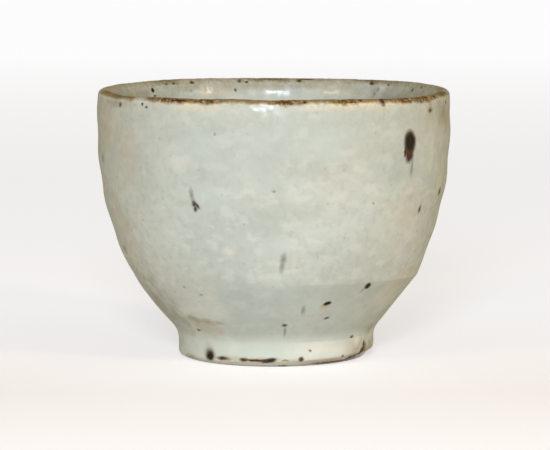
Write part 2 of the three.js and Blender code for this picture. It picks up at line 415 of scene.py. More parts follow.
pad_in, pad_out = Vector((PAD_INSIDE, 0)), Vector((PAD_OUTSIDE, 0))
edge_top = Vector((CLAY_FOOT_RADIUS, FOOT_BEVEL))
well_top, well_edge = Vector((WELL_RADIUS, SEAT_HEIGHT)), Vector((WELL_RADIUS, WELL_BEVEL))
clay_crease = crease(FOOT_COAT, CREASE_ROWS)[:CREASE_ROWS // 2 + 1]
ring = curve(PAD_ROWS, pad_in, pad_out) + curve(EDGE_ROWS, pad_out, edge_top)[1:] + clay_crease
ring += curve(WELL_WALL_ROWS, well_top, well_edge) + curve(EDGE_ROWS, well_edge, pad_in)[1:-1]
foot_clay = turned("foot_clay", ring, True)

# %% [markdown]
# ## The coats of glaze
# Glaze is a skin of glass about half a millimetre thick. It could be a solidify modifier on the clay, but
# the coat is thinner on the lip and ends in a roll above the foot's bare edge. So each coat is turned from
# its own outline: up the clay that it lies on, and back down its shown face.

# %% Coat on the outside
WALL_ROWS = 112
outside_glaze = turned("outside_glaze", clay_outside + bowl_outside(0, WALL_ROWS)[::-1], True)

# %% Coat on the inside
INSIDE_ROWS = 80
FLOOR_ROWS = 60
inner_face = bowl_inside(0, INSIDE_ROWS, FLOOR_ROWS)
inside_glaze = turned("inside_glaze", clay_inside + inner_face[::-1], False)

# %% Coat over the lip
lip_glaze = turned("lip_glaze_coat", clay_lip + lip_round(0, 0, 0, LIP_ROWS)[::-1], True)

# %% Coat on the foot
ROLL = 0.95  # height of the rolled lower edge of the glaze
FOOT_ROWS = 12
edge = Vector((FOOT_RADIUS, FOOT_BEVEL))
roll_top = edge + Vector((0, ROLL))
upper = crease(0, CREASE_ROWS)[:CREASE_ROWS // 2 + 1]
skirt = curve(EDGE_ROWS, edge_top, edge, roll_top)[1:] + curve(FOOT_ROWS, roll_top, upper[0])[1:-1] + upper
foot_glaze = turned("foot_glaze_coat", [edge_top] + clay_crease + skirt[::-1], True)

# %% [markdown]
# ## Joining the frame
# Each skin rides on the cup's one body and stands for its CAD solid, which is hidden.

# %% Ride and replace
COATS = [
    (bowl_clay, "thrown_bowl", "clay"),
    (foot_clay, "foot_ring", "clay"),
    (outside_glaze, "outer_glaze", "milky_glaze"),
    (inside_glaze, "inner_glaze", "milky_glaze"),
    (foot_glaze, "foot_glaze", "milky_glaze"),
    (lip_glaze, "lip_glaze", "iron_glaze"),
]
for piece, node, slot in COATS:
    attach(piece, "root")
    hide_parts(node)
print(len(COATS), "pieces ride on the cup")

# %% [markdown]
# ## Helpers for materials
# Colours are written as the hex values that an eye sees and turned to the linear values that light needs.
# A single helper adds a node, sets it and links it, so that each material reads as a list of layers.

# %% Colours and nodes
def srgb(code):
    """A hex colour as a linear RGBA value."""
    shares = [int(code[start:start + 2], 16) / 255 for start in (1, 3, 5)]
    linear = [share / 12.92 if share <= 0.04045 else ((share + 0.055) / 1.055) ** 2.4 for share in shares]
    return (*linear, 1)


def fill(tree, node, inputs):
    """Sets a node's inputs, by name or number, to values or links them to other nodes."""
    live = {socket.name: socket for socket in reversed(node.inputs) if socket.enabled}
    for name, value in inputs.items():
        socket = node.inputs[name] if isinstance(name, int) else live[name]
        if isinstance(value, bpy.types.NodeSocket):
            tree.links.new(value, socket)
        else:
            socket.default_value = value


def add(tree, kind, inputs, **settings):
    """Adds a node with its settings and inputs, and returns its first live output."""
    node = tree.nodes.new("ShaderNode" + kind)
    for setting, value in settings.items():
        setattr(node, setting, value)
    fill(tree, node, inputs)
    return next(socket for socket in node.outputs if socket.enabled)


print("milk white in linear light:", [round(share, 3) for share in srgb("#d3d9cf")[:3]])

# %% Nodes that come often
def per_metre(size):
    """The scale of a texture whose features are this many millimetres wide."""
    return 1 / (size * MM)


def noisy(where, size, detail, roughness=0.5):
    """Noise with features of a size in millimetres. A socket's id_data is the tree that it is in."""
    return add(where.id_data, "TexNoise", {
        "Vector": where, "Scale": per_metre(size), "Detail": detail, "Roughness": roughness})


def ranged(value, low=0, high=1, start=0, end=1):
    """Brings a value from the range low to high into the range start to end."""
    return add(value.id_data, "MapRange", {
        "Value": value, "From Min": low, "From Max": high, "To Min": start, "To Max": end})


def maths(operation, first, second):
    """Two values joined by an operation. At least one of them is a socket."""
    linked = first if isinstance(first, bpy.types.NodeSocket) else second
    return add(linked.id_data, "Math", {0: first, 1: second}, operation=operation)


def mixed(share, under, over):
    """A share of one colour laid over another."""
    return add(share.id_data, "Mix", {"Factor": share, "A": under, "B": over}, data_type="RGBA")


print("noise of 1 mm has a scale of", per_metre(1))

# %% [markdown]
# ## Marks in the glaze
# Grains of iron in the clay melt through the glaze as dark spots, and some of them run. Each mark is an
# ellipsoid of colour on the surface, given by its turn from the front in degrees, its height, its width
# and how tall it is in millimetres, and its lean. A picture could hold them, but ellipsoids follow the
# real surface from any side. A ray from outside, or from the axis for the inside, finds that surface.

# %% Where a mark sits
from collections import namedtuple

Mark = namedtuple("Mark", "turn height width tall lean inside", defaults=(0, False))
MARK_DEPTH = 2.4  # how far a mark reaches into the wall, in mm
RAY_START = 0.1  # metres from the axis, well outside the cup
RAY_NUDGE = 0.03  # degrees, so that no ray slips through along a column of edges

bpy.context.view_layer.update()


def marked(*rows):
    """A list of marks, each from a row of its numbers."""
    return [Mark(*row) for row in rows]


def mark_place(mark, from_outside, pieces):
    """The point at a mark's turn and height, on the piece that its ray meets first."""
    turn = math.radians(mark.turn + RAY_NUDGE)
    outwards = Vector((math.sin(turn), -math.cos(turn), 0))
    axis = Vector((0, 0, mark.height * MM))
    start, way = axis, outwards
    if from_outside and not mark.inside:
        start, way = axis + RAY_START * outwards, -outwards
    hits = [piece.ray_cast(start, way) for piece in pieces]
    places = [place for found, place, normal, face in hits if found]
    if not places:
        raise ValueError(f"no surface at {mark}")
    return min(places, key=lambda place: (place - start).length)


def marks_field(tree, where, marks, from_outside, pieces):
    """The distance to the nearest mark: 0 in its middle and 1 at its edge."""
    nearest = None
    for mark in marks:
        local = add(tree, "Mapping", {
            "Vector": where,
            "Location": mark_place(mark, from_outside, pieces),
            "Rotation": (0, math.radians(mark.lean), math.radians(mark.turn)),
            "Scale": MM * Vector((mark.width / 2, MARK_DEPTH, mark.tall / 2)),
        }, vector_type="TEXTURE")
        distance = add(tree, "VectorMath", {0: local}, operation="LENGTH")
        if nearest is not None:
            distance = maths("MINIMUM", nearest, distance)
        nearest = distance
    return nearest


front = mark_place(Mark(0, 46, 1, 1), True, [outside_glaze])
print("a ray finds the front of the wall at", [round(x / MM, 1) for x in front])

# %% [markdown]
# ## Kinds of stain
# What the fire draws out of the clay has few colours: a warm flush where the glaze is thin, grey-green
# runs, ochre and red rust, and iron that is olive at its rim and black in its middle. Some kinds are
# painted light instead: olive painted shade on the sides, grey painted shade on the front of the upper
# wall and warm painted highlights under the lip, while the flush also carries painted warm lamp light and
# the smoke also carries painted shade. Each kind gives its colour, where it starts and where it is full,
# both measured in half sizes of the mark, and its strength.

# %% Stains
Stain = namedtuple("Stain", "name colour edge core strength")
# partly the glaze's own warm flush, partly painted warm lamp light on the sides and painted warm highlights
FLUSH_AND_WARM_LIGHT = Stain("flush_and_warm_light", "#d8c6a9", 1.3, 0, 0.3)
DEW = Stain("dew", "#c6d3cc", 1.3, 0.2, 0.5)
# painted shade: a grey patch that darkens the front of the upper wall, where the window light is brightest
CENTRE_SHADE = Stain("centre_shade", "#a2aaa2", 1.5, 0, 0.38)
# painted shade: an olive tint that darkens the sides of the cup, which turn away from the lights
SIDE_SHADE = Stain("side", "#8d7f55", 1.6, 0, 0.28)
# painted highlight: warm cream patches under the lip, where the side lamps reflect
WARM_HIGHLIGHT = Stain("warm", "#e2d3b2", 1.4, 0.2, 0.3)
CREAM = Stain("cream", "#f0ece2", 1.3, 0.3, 0.5)
PALE = Stain("pale", "#e2e4d8", 1.3, 0.2, 0.4)
# partly smoke from the flame, partly painted shade on the sides and under the lip inside
SMOKE_AND_SHADE = Stain("smoke_and_shade", "#8b7d5a", 1.5, 0, 0.55)
TEA = Stain("tea", "#8f7448", 1.5, 0.2, 0.5)
PEACH = Stain("peach", "#bcae8b", 1.4, 0.2, 0.45)
HONEY = Stain("honey", "#b39e68", 1.4, 0.3, 0.7)
RUN = Stain("run", "#6d7367", 1.4, 0.1, 0.75)
OCHRE = Stain("ochre", "#7d5e28", 1.3, 0.4, 0.9)
RUST = Stain("rust", "#471b05", 1.2, 0.6, 1)
FLECK = Stain("fleck", "#382c14", 1.35, 0.4, 0.95)
RIM = Stain("rim", "#4a3a18", 1.3, 0.9, 0.9)
IRON = Stain("iron", "#1d1203", 1.05, 0.65, 1)


def stained(colour, field, stain):
    """Mixes a stain into a colour: none beyond the marks' edge, full inside their core."""
    share = ranged(field, stain.edge, stain.core, 0, stain.strength)
    return mixed(share, colour, srgb(stain.colour))


print("iron is", [round(share, 3) for share in srgb(IRON.colour)[:3]], "in linear light")

# %% [markdown]
# ## Soft stains on the points
# A flush, a cloud of smoke or a patch of painted shade is many faces wide, so it needs no nodes of its
# own: the distance to the nearest mark is written on each point of the mesh. The material reads it back
# and frays it with noise.

# %% Write a stain on the points
import numpy
from mathutils import Euler, Matrix

FRAY_SIZE, FRAY = 3.2, 1.1  # mm, and how far an edge frays, in half sizes of a mark
FAR = 9.0  # the distance that is written where no mark is near


def paint(piece, name, marks, from_outside, surfaces):
    """Writes the distance to the nearest mark on each point: 0 in its middle and 1 at its edge."""
    flat = numpy.empty(3 * len(piece.data.vertices))
    piece.data.vertices.foreach_get("co", flat)
    places = flat.reshape(-1, 3)
    nearest = numpy.full(len(places), FAR)
    for mark in marks:
        turned_by = Euler((0, math.radians(mark.lean), math.radians(mark.turn)))
        size = MM * Vector((mark.width / 2, max(MARK_DEPTH, mark.width / 2), mark.tall / 2))
        to_mark = Matrix.LocRotScale(mark_place(mark, from_outside, surfaces), turned_by, size).inverted()
        local = places @ numpy.array(to_mark.to_3x3()).T + numpy.array(to_mark.translation)
        nearest = numpy.minimum(nearest, numpy.linalg.norm(local, axis=1))
    layer = piece.data.attributes.new(name, "FLOAT", "POINT")
    layer.data.foreach_set("value", nearest)


def painted(tree, name):
    """Reads a painted distance back in a material."""
    return add(tree, "Attribute", {}, attribute_name=name).node.outputs["Fac"]


def soft_stains(stains):
    """A layer of painted stains with frayed edges, for a glaze."""
    def layer(tree, where, height, colour):
        fray = ranged(noisy(where, FRAY_SIZE, detail=3), 0, 1, -FRAY, FRAY)
        for stain, marks in stains:
            colour = stained(colour, maths("ADD", painted(tree, stain.name), fray), stain)
        return colour
    return layer


def stains_at(table):
    """Pairs of a stain and its marks, from rows of numbers."""
    return [(stain, marked(*rows)) for stain, rows in table.items()]


print("soft stains fray over", FRAY_SIZE, "mm")

# %% Soft stains on the outside
OUTSIDE_SOFT = stains_at({
    # painted shade on the left and right sides of the wall
    SIDE_SHADE: [(-97, 40, 40, 80), (107, 42, 34, 84)],
    DEW: [
        (-8, 50, 17, 9), (0, 57, 15, 9), (-20, 44, 9, 8), (-25, 56, 14, 10), (18, 58, 12, 9),
        (14, 17, 12, 7), (190, 40, 18, 12),
    ],
    # painted shade on the front of the upper wall
    CENTRE_SHADE: [(1, 57, 17, 17)],
    FLUSH_AND_WARM_LIGHT: [
        # a warm flush, with painted warm lamp light on the left and right sides
        (50.6, 38.4, 17, 15), (66, 62, 16, 9), (-66, 60, 18, 12), (-54, 54, 12, 16), (-66, 34, 10, 20),
        (60, 20, 14, 9), (68, 48, 4, 20), (150, 30, 22, 16), (215, 52, 20, 14),
    ],
    PALE: [
        (-15.5, 30.6, 4.2, 3.4), (8, 44, 7, 4), (20, 41, 6, 3.5), (28, 51, 6, 4.5), (60, 54, 3, 12),
        (72, 50, 2.4, 10), (-30, 52, 8, 4), (-32, 15, 16, 9), (60, 16, 14, 9), (140, 50, 9, 5),
        (220, 26, 8, 5),
    ],
    CREAM: [(-15.5, 30.6, 4.4, 3.2)],
    PEACH: [(-39, 9.9, 12, 4), (-31, 9.4, 5, 3)],
    # painted warm highlights below the front of the lip
    WARM_HIGHLIGHT: [
        (-27, 66, 8, 1.8), (-19, 65.8, 5, 1.8), (14, 66.2, 10, 1.6), (24, 65.9, 9, 2), (32, 65.8, 9, 2),
        (45, 66.2, 6, 1.8),
    ],
    # smoke, with painted shade on the sides of the lower belly and under the lip
    SMOKE_AND_SHADE: [(-68, 14, 18, 16), (66, 8, 6, 3), (70, 63, 12, 7), (-60, 66, 12, 2.2)],
    TEA: [(-43, 11.9, 4, 1.6, 14), (-35, 11.3, 3.4, 1.5), (-27.5, 11.3, 2.6, 1.1)],
})
for stain, marks in OUTSIDE_SOFT:
    paint(outside_glaze, stain.name, marks, True, [outside_glaze, lip_glaze])
print(len(OUTSIDE_SOFT), "soft stains outside")

# %% Marks on the outside
OUTSIDE_IRON = [
    (47.6, 56.8, 4.1, 5.4),  # the big spot on the right
    (40.1, 20.9, 1.7, 1.6, 35), (23.7, 16.9, 1.9, 1, -12),
    (128, 47, 2.2, 2.8),  # the unseen side has a few of the same kind
    (171, 60, 1, 1.2), (196, 33, 1.2, 1.5), (262, 22, 1, 0.8),
]
OUTSIDE_MARKS = stains_at({
    HONEY: [(59.4, 65.5, 1.8, 1.6), (23, 16.3, 2.6, 1.6, -15)],
    RUN: [
        (49.6, 50.4, 0.9, 5), (-27, 44.6, 1.3, 4, -10), (3.4, 29, 1.5, 3.2, 8), (3, 27.2, 1.3, 3.4, 4),
        (13.2, 15.3, 1.1, 2.6), (5.4, 11.2, 1.7, 0.9), (5.8, 9.5, 0.7, 3.6), (-74.1, 51.2, 2.2, 2.6),
        (-71.9, 28.1, 2.4, 2.4), (38.6, 20, 0.6, 2.4, 40), (-18.5, 59.7, 0.7, 0.8), (0.1, 46, 0.9, 0.8),
        (33.7, 42.3, 0.7, 0.7), (-38.7, 20.6, 1, 0.7), (-31.3, 18.9, 1, 0.6), (150, 38, 0.8, 5),
        (214, 50, 0.7, 3.6),
    ],
    OCHRE: [(59.2, 64.1, 2.6, 1.5)],
    RUST: [
        (47.6, 53.9, 3.4, 4.8),  # the foot of the big spot
        (45.6, 54.6, 1.3, 3.2), (47.3, 52.8, 1.3, 2.4), (128, 44.6, 1.2, 2.6),
    ],
    FLECK: [
        (36.1, 66.7, 1.7, 1.5),  # the lower half of a spot on the lip
        (73.5, 65.4, 1.2, 0.9), (-58.1, 65.5, 1.2, 1.3), (-46.1, 66.2, 0.9, 1), (-44.2, 65.5, 1, 0.7),
        (-45.2, 8.5, 1.2, 0.7), (57.3, 39.6, 1.3, 2.2), (71.5, 43, 2, 2.2), (5.4, 11.2, 1.2, 0.8),
        (26, 12.8, 1.5, 0.7, -12),
        (-26.2, 42.4, 1.4, 2, -20),  # the head of the streak on the left
        (-25.2, 42, 0.9, 2, -42), (-26, 41.3, 1.2, 1.7), (49.6, 6.5, 1.4, 1.1, 30),
        (59.2, 64.1, 0.9, 0.6),
    ],
    RIM: OUTSIDE_IRON,
    IRON: OUTSIDE_IRON,
})
print(sum(len(marks) for stain, marks in OUTSIDE_MARKS), "small marks outside")

# %% Marks inside
INSIDE_IRON = [(-130.4, 65.7, 1, 1.2), (60, 48, 1.4, 1.8), (-20, 36, 1, 1.2), (100, 30, 0.9, 1.1)]
INSIDE_SOFT = stains_at({
    # painted shade on the inner sides below the lip
    SIDE_SHADE: [(108, 63, 44, 16), (-116, 63, 34, 13)],
    # painted warm highlights inside the back of the lip, where the side lamps reflect
    FLUSH_AND_WARM_LIGHT: [(-160, 64.6, 14, 3), (150, 64.8, 12, 3)],
    PALE: [(180, 61.5, 34, 9)],
    # painted shade on the inner sides and under the lip at the back, with some smoke
    SMOKE_AND_SHADE: [(112, 64.4, 40, 9), (128, 64, 20, 7), (-112, 64.6, 30, 6), (180, 66.2, 60, 2.4)],
})
for stain, marks in INSIDE_SOFT:
    paint(inside_glaze, stain.name, marks, False, [inside_glaze, lip_glaze])
INSIDE_MARKS = stains_at({
    RUN: [(20, 52, 1, 6), (-148.2, 65, 1, 0.9), (139.3, 64.5, 0.9, 1), (138, 65.6, 0.9, 1.2, -30)],
    FLECK: [(-165.7, 64.9, 0.9, 0.9), (-131.1, 64.2, 1.2, 0.6), (119, 66.2, 0.9, 1.2, -30)],
    RIM: INSIDE_IRON,
    IRON: INSIDE_IRON,
})
print(len(INSIDE_IRON), "iron spots inside")

# %% Marks on the lip
LIP_SPOTS = [
    (36.1, 67.2, 1.8, 1.8), (28, 67.6, 1.2, 0.5), (9.6, 67.5, 1, 0.6), (57.7, 67.4, 1.6, 0.9),
    (63.4, 67.2, 1.2, 0.9),
    (141.4, 67.1, 1.6, 1.2, -30, True),  # these lie on the inner side of the lip, at the back
    (133.4, 66.9, 0.8, 0.8, 0, True), (113, 67.1, 0.8, 0.8, 0, True), (170.6, 67.3, 1.5, 0.7, 0, True),
    (-149, 67.1, 1.5, 1, 0, True), (-141, 67, 1, 1, 0, True), (-137.6, 66.9, 0.9, 0.8, 0, True),
    (-167.4, 67.2, 1, 0.9, 0, True), (-170, 67, 1.1, 0.7, 0, True),
]
LIP_MARKS = stains_at({
    RUST: [(168, 67.7, 6, 0.5), (-31, 67.5, 5, 0.5)],
    HONEY: [(59.5, 66.9, 1.8, 1.2)],
    FLECK: LIP_SPOTS,
})
LIP_SOFT = stains_at({
    # painted shade on the lip's inner sides
    SIDE_SHADE: [(112, 66, 50, 12), (-116, 66, 40, 12)],
    # painted shade on the lip's inner back and sides, with some smoke
    SMOKE_AND_SHADE: [(180, 66.4, 64, 5), (126, 66.4, 26, 5), (-138, 66.4, 24, 5)],
})
for stain, marks in LIP_SOFT:
    paint(lip_glaze, stain.name, marks, False, [inside_glaze, lip_glaze])
print(len(LIP_SPOTS), "iron spots on the lip")

# %% Soft stains on the foot
FOOT_SOFT = stains_at({
    # painted shade, mostly on the foot's sides
    SIDE_SHADE: [(-92, 3, 22, 16), (88, 3, 20, 16), (54, 2.6, 9, 5)],
    DEW: [(-3, 4, 20, 7)],
    PEACH: [
        (-24, 1.8, 9, 1.5), (-8, 1.8, 9, 1.4), (8, 1.8, 6, 1), (61.4, 2.3, 3, 2), (55, 3.2, 8, 4),
        (36, 1.4, 8, 1.2), (180, 2.2, 24, 2),
    ],
    CREAM: [(26, 4.6, 12, 5), (40, 3.6, 9, 4), (56, 5.2, 3, 3)],
    # small smoky smudges on the foot, partly painted shade at its sides
    SMOKE_AND_SHADE: [(-41, 3.2, 3.6, 3.6), (72, 2.6, 6, 4), (-60, 1, 4, 1.2)],
    TEA: [(66, 3, 4, 3.4), (56, 1.4, 6, 1.4), (35, 0.9, 14, 1)],
})
for stain, marks in FOOT_SOFT:
    for piece in (foot_glaze, foot_clay):
        paint(piece, stain.name, marks, True, [foot_glaze, foot_clay])
print(len(FOOT_SOFT), "soft stains on the foot")

# %% Marks on the foot
FOOT_IRON = [(-40.6, 2, 2.2, 2), (-1.6, 1.85, 2.2, 0.5, -10), (150, 2.2, 3, 0.9), (215, 1.9, 4, 0.8)]
FOOT_MARKS = stains_at({
    OCHRE: [
        (-31, 1.75, 4.6, 1), (-17.2, 1.8, 2.6, 0.9), (-10, 1.75, 5.8, 0.9), (6.8, 1.8, 2, 0.4),
        (16.1, 1.9, 1.4, 1.3), (21.4, 4, 0.9, 0.7, 30), (43.7, 1.9, 1, 0.8), (65.4, 3.2, 2, 2.6, 20),
    ],
    RUST: [
        (61.8, 2.2, 1.6, 1.6, 30),  # the crack in the torn place
        (53, 1, 4, 0.8, -8),
        (38, 0.5, 14, 0.6),  # and on along the bare edge
        (5.5, 0.25, 2.6, 0.4), (-3, 1.7, 4, 1.1, -10), (-10.5, 1.72, 5.4, 0.5),
    ],
    FLECK: [
        (-40.8, 2.4, 3.2, 3), (-31.5, 1.75, 2.3, 0.9), (-17.7, 1.75, 2, 1), (-2.6, 1.75, 4.2, 1.2, -10),
        (16.1, 1.9, 1.2, 1.2), (65.4, 3.9, 1.8, 1.7, 10), (64.6, 2.6, 2, 1.6, 20),
        (63, 1.9, 2.7, 1.7, 40), (60, 1.3, 3.2, 1.3, -30), (55.5, 0.9, 3.4, 0.8, -20),
        (49, 0.6, 4, 0.6, -10),
    ],
    RIM: FOOT_IRON,
    IRON: FOOT_IRON,
})
print(len(FOOT_IRON), "iron spots on the foot")

# %% [markdown]
# ## The milky glaze
# Stoneware glaze, dipped and fired in a smoky flame: a satin glass, clouded by tiny crystals. It is
# bluish where it lies thick, buff where it lies thin, and has faint brushed bands and grey freckles. One
# colour would look like paint, so clouds, patches, bands and freckles of real sizes are laid over each
# other. The glass itself is a Principled shader with the IOR of glass and a satin roughness.

# %% Layers of the glaze
GLAZE_IOR = 1.42  # a little under glass, because the crystals dull the surface
GLAZE_MILK = srgb("#ced6ce")
GLAZE_THICK = srgb("#c2ccc5")
GLAZE_BUFF = srgb("#cccbbd")
GLAZE_PALE = srgb("#dde2da")
GLAZE_THIN = srgb("#b0b3a5")
Cloud = namedtuple("Cloud", "size detail low high share colour moved", defaults=({},))
CLOUDS = [  # size in mm, detail, where the noise starts and is full, share, colour, mapping
    Cloud(18, 4, 0.4, 0.6, 1, GLAZE_MILK),
    Cloud(24, 5, 0.5, 0.68, 0.4, GLAZE_BUFF, {"Location": (0.31, 0.07, 0.13)}),
    Cloud(4.5, 4, 0.5, 0.6, 0.45, GLAZE_PALE, {"Scale": (1, 1, 1.4)}),
    Cloud(3, 2, 0.52, 0.7, 0.25, GLAZE_THIN, {"Scale": (0.25, 0.25, 1)}),  # brushed bands
    Cloud(1.8, 3, 0.5, 0.66, 0.27, GLAZE_THIN),
]


def clouded_glaze(tree, where):
    """The glaze's own colour: clouds of thick and thin, buff and pale patches, bands and fine mottling."""
    colour = GLAZE_THICK
    for cloud in CLOUDS:
        place = where
        if cloud.moved:
            place = add(tree, "Mapping", {"Vector": where, **cloud.moved})
        field = noisy(place, cloud.size, cloud.detail)
        share = ranged(field, cloud.low, cloud.high, 0, cloud.share)
        colour = mixed(share, colour, cloud.colour)
    return colour


print(len(CLOUDS), "layers of clouds in the glaze, the finest", CLOUDS[-1].size, "mm wide")

# %% Freckles and ragged edges
FRECKLE_SPACING = 4.4
FRECKLE_RADIUS = 0.42
FRECKLE = Stain("freckle", "#828a7d", 1.1, 0.2, 0.38)
RAGGED_SIZE = 0.9
RAGGED_DEPTH = 0.5
NOISE_MEAN = (0.5, 0.5, 0.5)


def freckled(tree, where):
    """Faint grey freckles where pinholes in the clay blew through the glaze, as a distance in radii."""
    cells = add(tree, "TexVoronoi", {"Vector": where, "Scale": per_metre(FRECKLE_SPACING)})
    return maths("MULTIPLY", cells, FRECKLE_SPACING / FRECKLE_RADIUS)


def ragged(tree, where):
    """The place, shaken by fine noise, so that a mark's edge is not a clean ellipse."""
    shake = noisy(where, RAGGED_SIZE, detail=2).node.outputs["Color"]
    middle = add(tree, "VectorMath", {0: shake, 1: NOISE_MEAN}, operation="SUBTRACT")
    step = add(tree, "VectorMath", {0: middle, "Scale": RAGGED_DEPTH * MM}, operation="SCALE")
    return add(tree, "VectorMath", {0: where, 1: step}, operation="ADD")


print("freckles", 2 * FRECKLE_RADIUS, "mm wide")

# %% [markdown]
# ## Iron on the lip
# Glaze drains off a sharp edge, and what is left takes iron from the clay. A line follows the crest all
# the way round: dark brown and broad in some arcs, thin and olive or peach in others, with cream grains
# under it. Where the grains are many, their cream also stands in as a painted warm highlight. It follows
# the height on the wheel, so it stays level with the wavy crest.

# %% Lip colours
LIP_STOPS = {0.4: "#4c3618", 0.5: "#78592c", 0.6: "#a17f48", 0.73: "#e9dcbc"}  # dark brown to cream
LIP_CREAM = srgb(LIP_STOPS[max(LIP_STOPS)])
LIP_OLIVE = srgb("#857d57")
LIP_PEACH = srgb("#ae9466")
LIP_ARCS = marked(
    (-34.8, 67.2, 10.5, 4), (-21.5, 67.2, 6, 4), (4.5, 67.2, 7, 2.8), (23, 67.2, 5, 3), (46, 67.2, 5, 3),
    (56, 66.8, 9, 3.4), (-141, 67.2, 6, 3),
)
LIP_GAPS = marked(
    (-92, 67.2, 22, 8), (-48, 67.2, 5, 8), (-116, 67.2, 34, 8), (114, 67.2, 40, 6), (84, 67.2, 10, 6),
    (160, 67.2, 24, 5), (-155, 67.2, 30, 5),
)
# places with many cream grains, whose cream is partly a painted warm highlight
LIP_GRAINS_AND_GLINTS = marked((-25, 66.4, 12, 5), (18, 66.4, 14, 5), (34, 66.4, 16, 5))
LIP_PAINT = {"lip_arcs": LIP_ARCS, "lip_gaps": LIP_GAPS, "lip_grains_and_glints": LIP_GRAINS_AND_GLINTS}
for piece in (outside_glaze, inside_glaze, lip_glaze):
    for name, marks in LIP_PAINT.items():
        paint(piece, name, marks, True, [lip_glaze, outside_glaze])
print(len(LIP_ARCS), "dark arcs on the lip and", len(LIP_GAPS), "gaps")

# %% The line on the lip
ARC_EDGE, ARC_CORE = 1.5, 0.5  # in half sizes of the mark, as in a stain
GAP_EDGE, GAP_CORE, GAP_SHARE = 1.2, 0.5, 0.3
GRAINS_EDGE, GRAINS_CORE = 1.3, 0.6
FEW_GRAINS, MANY_GRAINS = 0.25, 0.95  # shares of cream under the line
GRANULE, GRANULE_ROUGH = 0.8, 0.6
PATCH = 7  # mm across the olive and peach places
TURNOVER = (0.42, 0.58)  # where noise goes over from one kind to the other
BROWN_SHARE = 0.4  # between the arcs
THIN_LINE, BROAD_LINE = 0.88, 1.3  # mm below the crest
LINE_OUT, LINE_IN = 0.35, 0.45  # mm over which the line fades out
WAVE_SIZE, WAVE = 1.8, 0.6
CREAM_RUN = 2.2  # mm below the line that have cream grains


def ramp(value, stops):
    """The colour of a value, between hex colours that are given by position."""
    colours = add(value.id_data, "ValToRGB", {"Fac": value})
    elements = colours.node.color_ramp.elements
    elements.remove(elements[1])
    for position, code in stops.items():
        stop = elements[0] if position == min(stops) else elements.new(position)
        stop.position = position
        stop.color = srgb(code)
    return colours


def lip_iron(tree, where, height, colour):
    """A brown line over the crest, broad and dark in its arcs and thin and pale between them."""
    strong = ranged(painted(tree, "lip_arcs"), ARC_EDGE, ARC_CORE)
    grains = noisy(where, GRANULE, detail=3, roughness=GRANULE_ROUGH)
    brown = ramp(grains, LIP_STOPS)
    share = ranged(noisy(where, PATCH, detail=2), *TURNOVER)
    faint = mixed(share, LIP_OLIVE, LIP_PEACH)
    line = mixed(ranged(strong, 0, 1, BROWN_SHARE, 1), faint, brown)

    reach = ranged(strong, 0, 1, THIN_LINE, BROAD_LINE)
    wave = ranged(noisy(where, WAVE_SIZE, detail=3), 0, 1, -WAVE, WAVE)
    lift = maths("ADD", maths("ADD", height, wave), reach)
    band = ranged(lift, HEIGHT - LINE_OUT, HEIGHT + LINE_IN)
    shown = ranged(painted(tree, "lip_gaps"), GAP_CORE, GAP_EDGE, GAP_SHARE, 1)
    band = maths("MULTIPLY", band, shown)
    under = ranged(lift, HEIGHT - CREAM_RUN, HEIGHT)
    under = maths("MULTIPLY", under, ranged(grains, *TURNOVER))
    # more cream where the grains are many: the grains' colour and a painted warm highlight
    grainy = ranged(painted(tree, "lip_grains_and_glints"), GRAINS_EDGE, GRAINS_CORE, FEW_GRAINS, MANY_GRAINS)
    under = maths("MULTIPLY", under, grainy)
    return mixed(band, mixed(under, colour, LIP_CREAM), line)


print("the line is", THIN_LINE, "to", BROAD_LINE, "mm wide")

# %% [markdown]
# ## Where the glaze pools
# Molten glaze creeps downhill. It gathers in the crease and on the foot, where it is thick and bright,
# and in the bottom of the bowl, where it is deep enough to look green.

# %% Pools
FOOT_POOL = srgb("#dce4d9")
POOL_TOP, POOL_FULL, POOL_SHARE = FOOT_HEIGHT + 2.4, FOOT_HEIGHT - 0.8, 0.65
FOOT_TOAST = srgb("#d3c5aa")
TOAST_HEIGHT, TOAST_SHARE = 1.6, 0.5
FLOOR_POOL = srgb("#b4c2ae")
FLOOR_SHARE = 0.75
GREYING_LOW, GREYING_HIGH, GREYING_SHARE = 38, 56, 0.27


def by_height(low, high, most, tint):
    """A layer of colour that starts at the height low and has its full share at the height high."""
    def layer(tree, where, height, colour):
        return mixed(ranged(height, low, high, 0, most), colour, tint)
    return layer


foot_pool = by_height(POOL_TOP, POOL_FULL, POOL_SHARE, FOOT_POOL)
foot_toast = by_height(TOAST_HEIGHT, FOOT_BEVEL, TOAST_SHARE, FOOT_TOAST)  # wiped thin on its lowest edge
floor_pool = by_height(TRIM_HEIGHT, FLOOR_HEIGHT, FLOOR_SHARE, FLOOR_POOL)
upper_greying = by_height(GREYING_LOW, GREYING_HIGH, GREYING_SHARE, GLAZE_THIN)  # greyer higher up the wall
print("pools below", POOL_TOP, "mm outside and", TRIM_HEIGHT, "mm inside, thin from", GREYING_LOW, "mm up")

# %% Under the cut
# partly thinner glaze, partly painted shade on the cone under the belly, which faces down
CONE_GREY_AND_SHADE = srgb("#b2b9b2")
CUT_CRISP, CUT_SOFT = 0.35, 6  # mm over which the tone changes, at the right and at the left
CUT_MIDDLE = 0.5  # the share of the change at the cut itself
CONE_SHARE, LEFT_SHARE = 0.5, 0
FADE_START = TRIM_RADIUS / 4  # mm right of the middle, where the edge starts to fade


